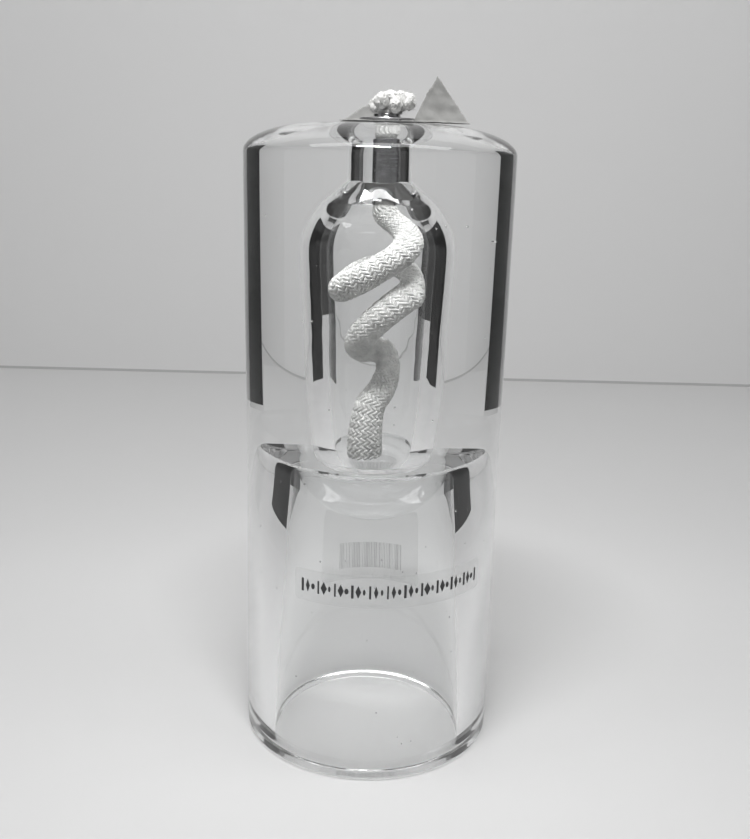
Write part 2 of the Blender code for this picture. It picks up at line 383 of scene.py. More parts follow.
def even_line(points, spacing):
    """The same line with points an equal distance apart."""
    points = np.array(points)
    along = np.concatenate([[0.0], np.cumsum(np.linalg.norm(np.diff(points, axis=0), axis=1))])
    at = np.linspace(0.0, along[-1], round(along[-1] / spacing) + 1)
    return np.stack([np.interp(at, along, points[:, k]) for k in range(points.shape[1])], axis=1)


def spaced(profile, spacing):
    """A profile whose points are at most a spacing apart, with its corners kept."""
    points = [profile[0]]
    for start, end in zip(profile, profile[1:]):
        steps = max(1, math.ceil(math.dist(start, end) / spacing))
        for i in range(1, steps + 1):
            points.append(tuple(a + (b - a) * i / steps for a, b in zip(start, end)))
    return points


def turned(name, profile, segments, closed=False, axis_x=0.0):
    """A closed body of revolution about a vertical axis, with a pole where its profile meets the axis."""
    shape = bmesh.new()
    turns = [(math.cos(TURN * k / segments), math.sin(TURN * k / segments)) for k in range(segments)]
    rings = []
    for radius, height in profile:
        if radius < 1e-7:
            rings.append([shape.verts.new((axis_x, 0.0, height))])
            continue
        rings.append([shape.verts.new((axis_x + radius * c, radius * s, height)) for c, s in turns])
    pairs = list(zip(rings, rings[1:]))
    if closed:
        pairs.append((rings[-1], rings[0]))
    for upper, lower in pairs:
        for k in range(segments):
            after = (k + 1) % segments
            if len(upper) == 1:
                shape.faces.new((upper[0], lower[k], lower[after]))
            elif len(lower) == 1:
                shape.faces.new((upper[k], lower[0], upper[after]))
            else:
                shape.faces.new((upper[k], lower[k], lower[after], upper[after]))
    bmesh.ops.recalc_face_normals(shape, faces=shape.faces)
    return as_object(name, shape)


def as_object(name, shape, sharp=40.0):
    mesh = bpy.data.meshes.new(name)
    shape.to_mesh(mesh)
    shape.free()
    mesh.shade_smooth()
    mesh.set_sharp_from_angle(angle=math.radians(sharp))
    return add_object(name, mesh)


def add_object(name, data):
    thing = bpy.data.objects.new(name, data)
    bpy.context.scene.collection.objects.link(thing)
    return thing


def give(thing, finish):
    thing.data.materials.clear()
    thing.data.materials.append(finish)
    return thing


def grown(name, guide, tree, inputs):
    """Runs a geometry tree on a guide object and returns the plain mesh object that it makes."""
    modifier = guide.modifiers.new("grow", "NODES")
    modifier.node_group = tree
    for item in tree.interface.items_tree:
        if item.item_type == "SOCKET" and item.in_out == "INPUT" and item.name in inputs:
            modifier[item.identifier] = inputs[item.name]
    graph = bpy.context.evaluated_depsgraph_get()
    mesh = bpy.data.meshes.new_from_object(guide.evaluated_get(graph), depsgraph=graph)
    mesh.name = name
    guide.modifiers.remove(modifier)
    bpy.data.objects.remove(guide)
    return add_object(name, mesh)


def merged(name, things):
    """Joins objects that sit at the origin into one, keeping their meshes' attributes."""
    bpy.ops.object.select_all(action="DESELECT")
    for thing in things:
        thing.select_set(True)
    bpy.context.view_layer.objects.active = things[0]
    bpy.ops.object.join()
    things[0].name = name
    things[0].data.name = name
    return things[0]


def new_tree(name, sockets):
    """An empty geometry tree with Geometry in and out, and one named input for each size."""
    tree = bpy.data.node_groups.new(name, "GeometryNodeTree")
    tree.interface.new_socket("Geometry", in_out="INPUT", socket_type="NodeSocketGeometry")
    for label, kind in sockets.items():
        tree.interface.new_socket(label, in_out="INPUT", socket_type=kind)
    tree.interface.new_socket("Geometry", in_out="OUTPUT", socket_type="NodeSocketGeometry")
    graph = Graph(tree)
    return graph, graph.add("NodeGroupInput"), graph.add("NodeGroupOutput")


def finish_tree(graph, output, shapes, material):
    real = graph.add("GeometryNodeRealizeInstances", None, shapes)
    painted = graph.add("GeometryNodeSetMaterial", None, real.out(), Material=material)
    graph.tree.links.new(painted.out(), output.node.inputs[0])


FLOAT = "NodeSocketFloat"
COUNT = "NodeSocketInt"
STUFF = "NodeSocketMaterial"


# ---- finishes ----------------------------------------------------------------------------------
def glass_finish(s):
    """Fire-polished clear glass with faint wipe marks; lamps shine through it, least at its rim."""
    glass = Finish("clear_glass", Transmission_Weight=1.0, IOR=1.5, Roughness=0.0)
    where = glass.place()
    smear = glass.noise(glass.place(scale=(60.0, 60.0, 14.0)), 1.0, 4.0)
    dust = glass.noise(where, 900.0, 2.0)
    streak = glass.ramp(smear, [(0.45, 0.0), (0.75, 1.0)])
    pale = tuple(s.tint)
    dull = tuple(0.97 * c for c in pale)
    glass.drive("Base Color", glass.tone(streak * dust, pale, dull))
    glass.drive("Roughness", streak * 0.012)
    glass.bump(glass.noise(where, 45.0, 1.0), 0.02, 0.0002)
    shadow = glass.add("ShaderNodeLightPath").value("Is Shadow Ray")
    rim = glass.add("ShaderNodeLayerWeight", None, 0.35).value("Facing")
    spot = glass.add("ShaderNodeSeparateXYZ", None, where)
    away = (spot.value("X") * spot.value("X") + spot.value("Y") * spot.value("Y")).math("SQRT")
    outside = glass.add("ShaderNodeMapRange", None, away, s.radius - 2 * MM, s.radius - MM, 0.0, 1.0).value()
    outside = outside * (spot.value("Z") < s.height - s.shoulder) * (0.3 + 0.7 * (spot.value("Y") > 0.0))
    glass.pass_light(shadow * (1.0 - rim * 0.6) * (1.0 - outside * 0.88), (0.95, 0.95, 0.95))
    return glass.material


def seed_finish():
    """Air in glass: bends light the other way."""
    air = Finish("glass_seed", Transmission_Weight=1.0, IOR=0.667, Roughness=0.0)
    mist = air.noise(air.place(), 3000.0, 1.0)
    air.drive("Base Color", air.tone(mist, (0.95, 0.95, 0.95), (1.0, 1.0, 1.0)))
    return air.material


def fibre_finish(s, name, cover):
    """White glass-fibre yarn: fine filaments along each yarn, a soft sheen and painted shade in the hollows
    between filaments.
    """
    fibre = Finish(name, Roughness=0.6, Sheen_Weight=0.15, Specular_IOR_Level=0.5)
    along = fibre.attribute("along")
    around = fibre.attribute("around") * TURN
    fine = fibre.xyz(along * 260.0, around.math("COSINE"), around.math("SINE"))
    filaments = fibre.noise(fine, 5.0, 4.0, 0.7)
    lumps = fibre.noise(fibre.place(), 420.0, 3.0)
    # cover scales the fibre away from its own white: above 1 it paints light onto the wick inside the glass,
    # below 1 it paints shade onto the tuft
    white = tuple(cover * c for c in s.colour)
    # painted shade: grey at half the brightness, laid where the filament and lump noise runs low, the same
    # hollows that the bump sinks
    grey = tuple(0.5 * c for c in white)
    mottle = fibre.ramp(filaments * 0.6 + lumps * 0.4, [(0.34, 0.0), (0.62, 1.0)])
    fibre.drive("Base Color", fibre.tone(mottle, grey, white))
    fibre.drive("Roughness", 0.45 + filaments * 0.3)
    fibre.bump(filaments + lumps * 0.8, 0.8, 0.0004)
    return fibre.material


def steel_finish(s):
    """Thin drawn steel, brushed round the tube, with fine handling scratches."""
    steel = Finish("holder_steel", Metallic=1.0, Roughness=0.2)
    rings = steel.noise(steel.place(scale=(80.0, 80.0, 9000.0)), 1.0, 3.0)
    worn = steel.noise(steel.place(), 700.0, 3.0)
    bright = tuple(s.steel)
    dark = tuple(0.6 * c for c in bright)
    steel.drive("Base Color", steel.tone(worn, dark, bright))
    steel.drive("Roughness", 0.12 + rings * 0.16 + worn * 0.1)
    steel.bump(rings, 0.25, 0.00003)
    return steel.material


def paper_finish(s):
    """Thin grey paper, darkened past the paper's own grey as painted shade on its upright corners: cloudy
    pulp, stray fibres, a few dark spots.
    """
    paper = Finish("collar_paper", Roughness=0.8)
    where = paper.place()
    pulp = paper.noise(where, 260.0, 5.0, 0.65)
    threads = paper.noise(paper.place(scale=(1500.0, 350.0, 900.0)), 1.0, 3.0)
    spots = paper.ramp(paper.noise(where, 230.0, 1.0), [(0.70, 0.0), (0.78, 1.0)])
    plain = tuple(s.paper)
    pale = tuple(min(1.0, 1.35 * c) for c in plain)
    base = paper.tone(pulp * 0.7 + threads * 0.3, plain, pale)
    ink = tuple(0.35 * c for c in plain)
    paper.drive("Base Color", paper.tone(spots, base, ink))
    paper.drive("Roughness", 0.7 + pulp * 0.25)
    paper.bump(pulp + threads * 0.5, 0.4, 0.0001)
    return paper.material


def film_finish(s):
    """Clear film with a satin face and trapped air under it."""
    film = Finish("label_film", Roughness=0.35)
    where = film.place()
    haze = film.noise(where, 350.0, 4.0)
    bubbles = film.ramp(film.noise(where, 500.0, 1.0), [(0.70, 0.0), (0.78, 1.0)])
    pale = tuple(s.film)
    film.drive("Base Color", film.tone(haze, tuple(0.96 * c for c in pale), pale))
    film.drive("Roughness", 0.25 + haze * 0.3)
    film.drive("Alpha", 0.14 + haze * 0.06 + bubbles * 0.08)
    film.bump(haze, 0.15, 0.00005)
    return film.material


def sticker_finish(s):
    """Matt sticker paper."""
    sticker = Finish("label_paper", Roughness=0.6)
    where = sticker.place()
    pulp = sticker.noise(where, 500.0, 5.0, 0.6)
    glue = sticker.noise(where, 90.0, 2.0)
    plain = tuple(s.sticker)
    sticker.drive("Base Color", sticker.tone(pulp * 0.4 + glue * 0.6, tuple(0.86 * c for c in plain), plain))
    sticker.drive("Roughness", 0.5 + pulp * 0.3)
    sticker.drive("Alpha", 0.15 + glue * 0.12)
    sticker.bump(pulp, 0.2, 0.00005)
    return sticker.material


def ink_finish(s, name, cover):
    """Dry dark print with a fine grain, as opaque as its cover."""
    ink = Finish(name, Roughness=0.5, Alpha=cover)
    where = ink.place()
    grain = ink.noise(where, 1400.0, 3.0)
    dark = tuple(s.ink)
    ink.drive("Base Color", ink.tone(grain, dark, tuple(c + 0.05 for c in dark)))
    ink.drive("Roughness", 0.4 + grain * 0.3)
    return ink.material


def plain_finish(name, shade, grain):
    """A pale matt surface with a barely seen mottle."""
    plain = Finish(name, Roughness=0.6)
    cloud = plain.noise(plain.place(), grain, 3.0)
    plain.drive("Base Color", plain.tone(cloud, tuple(0.97 * c for c in shade), tuple(shade)))
    return plain.material


# ---- geometry trees ----------------------------------------------------------------------------
def wick_tree():
    """Braids yarns both ways round a line, two over and two under, on a plain core."""
    sizes = ["Radius", "Squeezed", "Squeezed Length", "Yarn", "Pitch"]
    sockets = {name: FLOAT for name in [*sizes, "Length", "Fray"]} | {"Yarns": COUNT, "Finish": STUFF}
    graph, given, out = new_tree("braided_wick", sockets)
    radius, squeezed, held = (given.value(name) for name in sizes[:3])
    yarn, pitch, yarns = given.value("Yarn"), given.value("Pitch"), given.value("Yarns")
    line = graph.add("GeometryNodeMeshToCurve", None, given.out())
    spline = graph.add("GeometryNodeSplineParameter")
    along = spline.value("Length")
    settings = {"interpolation_type": "SMOOTHSTEP"}
    reach = graph.add("ShaderNodeMapRange", settings, along, held, held + 4.5 * MM, squeezed, radius).value()
    whole = given.value("Length")
    start = whole - given.value("Fray")
    frayed = graph.add("ShaderNodeMapRange", settings, along, start, whole, 0.0, 0.8 * MM)
    reach = reach + frayed.value()
    share = reach / radius
    thick = yarn * share
    copies = graph.add("GeometryNodeDuplicateElements", {"domain": "SPLINE"}, line.out(), None, yarns * 2.0)
    index = copies.value("Duplicate Index")
    way = 1.0 - 2.0 * (index > yarns - 0.5)
    twist = along * TURN / pitch
    turn = index * TURN / yarns + way * twist
    weave = way * (yarns * twist * 0.5 - math.pi / 4).math("COSINE")
    rough = graph.add("ShaderNodeTexNoise", None, Scale=900.0, Detail=1.0).value()
    away = reach - thick * 1.5 + weave * thick * 0.7 + (rough - 0.5) * thick * 1.2
    side = graph.add("GeometryNodeInputNormal").out()
    ahead = graph.add("GeometryNodeInputTangent").out()
    over = graph.vector("CROSS_PRODUCT", ahead, side)
    scaled_side = graph.vector("SCALE", side, Scale=turn.math("COSINE") * away)
    scaled_over = graph.vector("SCALE", over, Scale=turn.math("SINE") * away)
    offset = graph.vector("ADD", scaled_side, scaled_over)
    laid = graph.add("GeometryNodeSetPosition", None, copies.out(), None, None, offset)
    keep = {"data_type": "FLOAT", "domain": "POINT"}
    laid = graph.add("GeometryNodeStoreNamedAttribute", keep, laid.out(), None, "along", along)
    ring = graph.add("GeometryNodeCurvePrimitiveCircle", None, 6, Radius=1.0)
    factor = graph.add("GeometryNodeSplineParameter").value("Factor")
    ring = graph.add("GeometryNodeStoreNamedAttribute", keep, ring.out(), None, "around", factor)
    cords = graph.add("GeometryNodeCurveToMesh", None, laid.out(), ring.out(), thick, True)
    wide = graph.add("GeometryNodeCurvePrimitiveCircle", None, 24, Radius=1.0)
    core = graph.add("GeometryNodeCurveToMesh", None, line.out(), wide.out(), reach - thick * 1.7, True)
    both = graph.add("GeometryNodeJoinGeometry", None, core.out())
    graph.tree.links.new(cords.out(), both.node.inputs[0])
    soft = graph.add("GeometryNodeSetShadeSmooth", None, both.out())
    finish_tree(graph, out, soft.out(), given.out("Finish"))
    return graph.tree


def hair_tree():
    """Scatters fine bent fibres over a surface, most of them leaning up."""
    sockets = {"Fibres": FLOAT, "Length": FLOAT, "Thickness": FLOAT, "Seed": COUNT, "Finish": STUFF}
    graph, given, out = new_tree("stray_fibres", sockets)
    settings = {"distribute_method": "RANDOM"}
    amounts = {"Density": given.out("Fibres"), "Seed": given.out("Seed")}
    points = graph.add("GeometryNodeDistributePointsOnFaces", settings, given.out(), **amounts)
    jitter = {"data_type": "FLOAT_VECTOR"}
    loose = graph.add("FunctionNodeRandomValue", jitter, (-0.7, -0.7, -0.2), (0.7, 0.7, 0.9))
    lean = graph.vector("ADD", points.out("Normal"), loose.out())
    turn = graph.add("FunctionNodeAlignRotationToVector", {"axis": "Z"}, None, None, lean)
    size = graph.add("FunctionNodeRandomValue", {"data_type": "FLOAT"}, None, None, 0.35, 1.0).value(1)
    hair = graph.add("GeometryNodeCurvePrimitiveLine", None, (0, 0, 0), (0, 0, 1))
    hair = graph.add("GeometryNodeResampleCurve", None, hair.out(), None, 5)
    rise = graph.add("GeometryNodeSplineParameter").value("Factor")
    bend = graph.xyz(rise * rise * 0.35, rise.math("SINE") * 0.1, 0.0)
    hair = graph.add("GeometryNodeSetPosition", None, hair.out(), None, None, bend)
    ring = graph.add("GeometryNodeCurvePrimitiveCircle", None, 3, Radius=1.0)
    slim = given.value("Thickness") / given.value("Length") * (1.0 - rise * 0.6)
    hair = graph.add("GeometryNodeCurveToMesh", None, hair.out(), ring.out(), slim, True)
    scale = size * given.value("Length")
    stance = {"Rotation": turn.out(), "Scale": graph.xyz(scale, scale, scale)}
    many = graph.add("GeometryNodeInstanceOnPoints", None, points.out("Points"), None, hair.out(), **stance)
    finish_tree(graph, out, many.out(), given.out("Finish"))
    return graph.tree


def seed_tree():
    """Puts a small bubble of a random size on every point."""
    sockets = {"Smallest": FLOAT, "Largest": FLOAT, "Seed": COUNT, "Finish": STUFF}
    graph, given, out = new_tree("glass_seeds", sockets)
    points = graph.add("GeometryNodeMeshToPoints", None, given.out())
    ball = graph.add("GeometryNodeMeshIcoSphere", None, 1.0, 2)
    ball = graph.add("GeometryNodeSetShadeSmooth", None, ball.out())
    size = graph.add("FunctionNodeRandomValue", {"data_type": "FLOAT"})
    for place, name in ((2, "Smallest"), (3, "Largest"), (8, "Seed")):
        graph.tree.links.new(given.out(name), size.node.inputs[place])
    even = size.value(1)
    spread = graph.xyz(even, even, even * 1.3)
    many = graph.add("GeometryNodeInstanceOnPoints", None, points.out(), None, ball.out(), Scale=spread)
    finish_tree(graph, out, many.out(), given.out("Finish"))
    return graph.tree


def marks_tree():
    """Sets plain marks along a line that bends round the vertical axis: bars, or bars, diamonds and dots."""
    sizes = ["Height", "Narrow", "Wide", "Thickness"]
    sockets = {name: FLOAT for name in sizes}
    sockets |= {"Marks": COUNT, "Kinds": COUNT, "Seed": COUNT, "Finish": STUFF}
    graph, given, out = new_tree("printed_marks", sockets)
    height, narrow, wide, thick = (given.value(name) for name in sizes)
    line = graph.add("GeometryNodeMeshToCurve", None, given.out())
    line = graph.add("GeometryNodeResampleCurve", None, line.out(), None, given.out("Marks"))
    bar = graph.add("GeometryNodeMeshCube", None, graph.xyz(thick, 1.0, height))
    shapes = [bar.out()]
    for corners, tall, broad in ((4, 0.5, 1.3), (24, 0.22, 0.7)):
        disc = graph.add("GeometryNodeMeshCylinder", None, corners, 1, 1, 1.0, thick)
        scale = graph.xyz(height * tall, broad, 1.0)
        disc = graph.add("GeometryNodeTransform", None, disc.out(), None, (0, math.pi / 2, 0), scale)
        shapes.append(disc.out())
    picks = graph.add("GeometryNodeGeometryToInstance", None, shapes[-1])
    for shape in shapes[-2::-1]:
        graph.tree.links.new(shape, picks.node.inputs[0])
    index = graph.add("GeometryNodeInputIndex").value()
    kind = index.math("MODULO", given.value("Kinds"))
    place = graph.add("ShaderNodeSeparateXYZ", None, graph.add("GeometryNodeInputPosition").out())
    facing = graph.xyz(0.0, 0.0, place.value("Y").math("ARCTAN2", place.value("X")))
    size = graph.add("FunctionNodeRandomValue", {"data_type": "FLOAT"})
    for at, source in ((2, narrow.socket), (3, wide.socket), (8, given.out("Seed"))):
        graph.tree.links.new(source, size.node.inputs[at])
    stance = {"Rotation": facing, "Scale": graph.xyz(1.0, size.value(1), 1.0)}
    shapes = [picks.out(), True, kind]
    many = graph.add("GeometryNodeInstanceOnPoints", None, line.out(), None, *shapes, **stance)
    finish_tree(graph, out, many.out(), given.out("Finish"))
    return graph.tree


# ---- the pieces --------------------------------------------------------------------------------
def polyline(name, points):
    mesh = bpy.data.meshes.new(name)
    mesh.from_pydata([tuple(p) for p in points], [(i, i + 1) for i in range(len(points) - 1)], [])
    return add_object(name, mesh)


def outward(thing):
    """Turns every closed shell of a mesh to face out."""
    shape = bmesh.new()
    shape.from_mesh(thing.data)
    bmesh.ops.recalc_face_normals(shape, faces=shape.faces)
    shape.to_mesh(thing.data)
    shape.free()
    return thing


def wick_line():
    """The lower wick's centre line, from inside the tube to its free end, in metres."""
    inside = (HOLDER_X / MM, 0.0, (TUBE_BOTTOM + HELD_LENGTH) / MM)
    return even_line(smooth_line([inside, *WICK_ROUTE], 16), 0.42) * MM


def make_wick(s):
    """The braided wick in the reservoir, a cord that starts inside the holder's tube at its top."""
    # painted light: cover 1.22 makes the wick brighter than the fibre's own white, to brighten its lit tops
    finish = fibre_finish(s, "wick_fibre", 1.22)
    line = wick_line()
    long = float(np.linalg.norm(np.diff(line, axis=0), axis=1).sum())
    sizes = {"Radius": s.radius, "Squeezed": s.squeezed, "Squeezed Length": HELD_LENGTH, "Yarn": s.yarn}
    sizes |= {"Length": long, "Fray": FRAY_LENGTH, "Pitch": s.pitch, "Yarns": s.yarns, "Finish": finish}
    wick = outward(grown("reservoir_wick", polyline("wick_guide", line), wick_tree(), sizes))
    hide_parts("wick_coil")
    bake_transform(wick)


def fluff(name, centre, radii, seed, turn=0.0):
    """One soft lobe of splayed fibre."""
    shape = bmesh.new()
    bmesh.ops.create_icosphere(shape, subdivisions=4, radius=1.0)
    roll = Matrix.Rotation(turn, 3, "Z")
    for vert in shape.verts:
        way = vert.co.normalized()
        lump = noise.noise(way * 1.6 + Vector((seed, 0, 0)))
        strand = noise.noise(Vector((way.x * 9, way.y * 9, way.z * 2)) + Vector((0, seed, 0)))
        fuzz = noise.noise(way * 22.0 + Vector((0, 0, seed)))
        size = 1.0 + 0.22 * lump + 0.16 * strand + 0.05 * fuzz
        stretched = Vector((way.x * radii[0], way.y * radii[1], way.z * radii[2]))
        vert.co = roll @ stretched * size + Vector(centre)
    return as_object(name, shape)


def make_tuft(s):
    """The wick's frayed end above the tube, with the squeezed stem below it inside the tube."""
    # painted shade: cover 0.85 makes the tuft darker than the same fibre in the wick, for the shade among its
    # fluffed fibres
    finish = fibre_finish(s, "tuft_fibre", 0.85)
    seat = TUBE_TOP + 0.2 * MM
    stem_top, stem_foot = seat + 1.2 * MM, TUBE_BOTTOM + 9.5 * MM
    stem = [(0.0, stem_top), (1.6 * MM, stem_top), (s.squeezed, stem_top - 0.6 * MM), (s.squeezed, stem_foot)]
    stem += [(s.squeezed - 0.5 * MM, stem_foot - 0.4 * MM), (0.0, stem_foot - 0.4 * MM)]
    parts = [turned("tuft_stem", spaced(stem, 0.8 * MM), 32, axis_x=HOLDER_X)]
    middle = HOLDER_X + 1.5 * MM
    for i in range(s.lobes):
        angle = TURN * (i + 0.35) / s.lobes
        out = (3.7 + 0.35 * math.sin(5.0 * i)) * MM
        high = seat + (2.2 + 0.5 * math.cos(3.0 * i)) * MM
        centre = (middle + out * math.cos(angle), out * math.sin(angle), high)
        parts.append(fluff("lobe", centre, (1.9 * MM, 1.5 * MM, 1.9 * MM), 3.7 * i, angle))
    for i, (x, y) in enumerate(((-0.9, -0.5), (1.3, 0.6))):
        centre = (middle + x * MM, y * MM, seat + 3.5 * MM)
        parts.append(fluff("crown", centre, (2.0 * MM, 1.8 * MM, 1.6 * MM), 31.0 + 5 * i))
    body = merged("tuft_body", parts)
    skin = body.copy()
    skin.data = body.data.copy()
    bpy.context.scene.collection.objects.link(skin)
    area = sum(face.area for face in skin.data.polygons)
    sizes = {"Fibres": s.hairs / area, "Length": 1.5 * MM, "Thickness": 0.035 * MM}
    sizes |= {"Seed": 11, "Finish": finish}
    hairs = grown("tuft_hairs", skin, hair_tree(), sizes)
    tuft = outward(give(merged("tuft", [body, hairs]), finish))
    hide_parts("wick_tuft")
    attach(tuft, "wick")


def reservoir_section(s):
    """Half section of the reservoir from its floor up to the bore, as (radius, height)."""
    knots = [
        (9.3 * MM, 75.6 * MM),
        (10.2 * MM, 79.5 * MM),
        (11.2 * MM, 90 * MM),
        (11.65 * MM, 100 * MM),
        (11.95 * MM, 109 * MM),
        (s.belly - 0.3 * MM, 118 * MM),
        (s.belly, 126 * MM),
        (s.belly - 0.35 * MM, 130.5 * MM),
        (11.2 * MM, 134.4 * MM),
        (9.2 * MM, 138.4 * MM),
    ]
    floor = arc((5.4 * MM, 77.6 * MM), (4.0 * MM, 4.1 * MM), -90, -29, 10)
    return [(0.0, 73.5 * MM), *floor, *smooth_line(knots, 12)[1:]]


def glass_section(s):
    """Half section of the glass: reservoir, bore, domed top, side, ground edge, foot hollow, underside."""
    reservoir = reservoir_section(s)
    throat = arc((s.bore + 0.9 * MM, 143.6 * MM), (0.9 * MM, 0.9 * MM), 235, 180, 5)
    mouth = arc((s.bore + 0.6 * MM, s.height - 0.6 * MM), (0.6 * MM, 0.6 * MM), 180, 90, 6)
    top = [(8 * MM, s.height)]
    shoulder = arc((s.radius - s.dome, s.height - s.shoulder), (s.dome, s.shoulder), 90, 0, 40)
    side = [
        (s.radius, s.height - s.shoulder - 8 * MM),
        (s.radius - 0.1 * MM, 110 * MM),
        (s.radius - 0.3 * MM, 75 * MM),
        (s.radius - 0.1 * MM, 45 * MM),
        (s.radius, 18 * MM),
        (s.radius, 3 * MM),
    ]
    edge = arc((s.radius - 1.2 * MM, 1.2 * MM), (1.2 * MM, 1.2 * MM), 0, -90, 10)
    lip = arc((s.mouth + 0.6 * MM, 0.6 * MM), (0.6 * MM, 0.6 * MM), 270, 180, 5)
    wall = [
        (s.mouth, 1.2 * MM),
        (24.0 * MM, 14 * MM),
        (22.8 * MM, 34 * MM),
        (21.4 * MM, 54 * MM),
        (20.3 * MM, 66 * MM),
        (s.crest, 72.6 * MM),
        (s.crest - 0.5 * MM, 75.2 * MM),
        (s.crest - 1.0 * MM, 76.2 * MM),
    ]
    bulge = arc((0.0, 74.4 * MM), (s.crest - 1.4 * MM, 14.4 * MM), 0, -90, 48)
    bulge[-1] = (0.0, 60 * MM)
    neck = [(s.crest - 1.25 * MM, 75.4 * MM)]
    section = reservoir + throat + mouth + top + shoulder + smooth_line(side, 8) + edge + lip
    return section + smooth_line(wall, 10) + neck + bulge


def make_glass(s):
    """The one piece of glass, with faint hand-worked ripples in the reservoir's wall."""
    glass = turned("lamp_glass", spaced(glass_section(s), 2.4 * MM), s.segments)
    for vert in glass.data.vertices:
        radius = math.hypot(vert.co.x, vert.co.y)
        deep = min(1.0, max(0.0, (s.radius - 4 * MM - radius) / (4 * MM)))
        high = min(1.0, max(0.0, (vert.co.z - 84 * MM) / (12 * MM)))
        wave = noise.noise(vert.co * 90.0) + 0.4 * noise.noise(vert.co * 260.0)
        push = 0.5 * s.ripple * deep * high * wave
        if radius > 1e-6 and vert.co.z < BODY_HEIGHT - 8 * MM:
            vert.co.x += push * vert.co.x / radius
            vert.co.y += push * vert.co.y / radius
    give(glass, glass_finish(s))
    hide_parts("glass_body")
    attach(glass, "root")


def make_seeds(s):
    """Small bubbles between the reservoir and the outside, and in the foot's wall."""
    rng = np.random.default_rng(7)
    inner = np.array(reservoir_section(s))
    places = []
    while len(places) < s.seeds:
        height = rng.uniform(8 * MM, s.height - 10 * MM)
        if height > 80 * MM:
            low = np.interp(height, inner[:, 1], inner[:, 0])
        else:
            low = s.mouth - 0.5 * MM
        high = s.radius - 0.8 * MM
        radius = low + 0.8 * MM + (high - low - 0.8 * MM) * rng.uniform() ** 2
        angle = rng.uniform(0, TURN)
        if radius < high:
            places.append((radius * math.cos(angle), radius * math.sin(angle), height))
    mesh = bpy.data.meshes.new("seed_guide")
    mesh.from_pydata(places, [], [])
    sizes = {"Smallest": 0.07 * MM, "Largest": 0.24 * MM, "Seed": 3, "Finish": seed_finish()}
    seeds = outward(grown("glass_seeds", add_object("seed_guide", mesh), seed_tree(), sizes))
    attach(seeds, "root")


def make_holder(s):
    """A drawn steel eyelet: a thin tube with a rolled lip and a shallow flange."""
    inner = s.tube_radius - s.tube_wall
    flange_low = PAPER_LOW.z + 0.55 * MM
    lip = arc((s.tube_radius - s.tube_wall / 2, TUBE_TOP - 0.2 * MM), (s.tube_wall / 2, 0.2 * MM), 180, 0, 8)
    root = arc((s.tube_radius + 0.5 * MM, flange_low + 0.9 * MM), (0.5 * MM, 0.5 * MM), 180, 270, 6)
    rim = arc((FLANGE_RADIUS - 0.2 * MM, flange_low + 0.2 * MM), (0.2 * MM, 0.2 * MM), 90, -90, 8)
    outer = s.tube_radius
    section = [*lip, *root, *rim, (outer + 0.3 * MM, flange_low), (outer, flange_low - 0.3 * MM)]
    section += [(outer, TUBE_BOTTOM + 0.2 * MM), (outer - 0.1 * MM, TUBE_BOTTOM), (inner, TUBE_BOTTOM)]
    section = spaced([*section, section[0]], 1.5 * MM)[:-1]
    holder = turned("steel_holder", section, 96, closed=True, axis_x=HOLDER_X)
    give(holder, steel_finish(s))
    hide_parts("wick_holder")
    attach(holder, "holder")


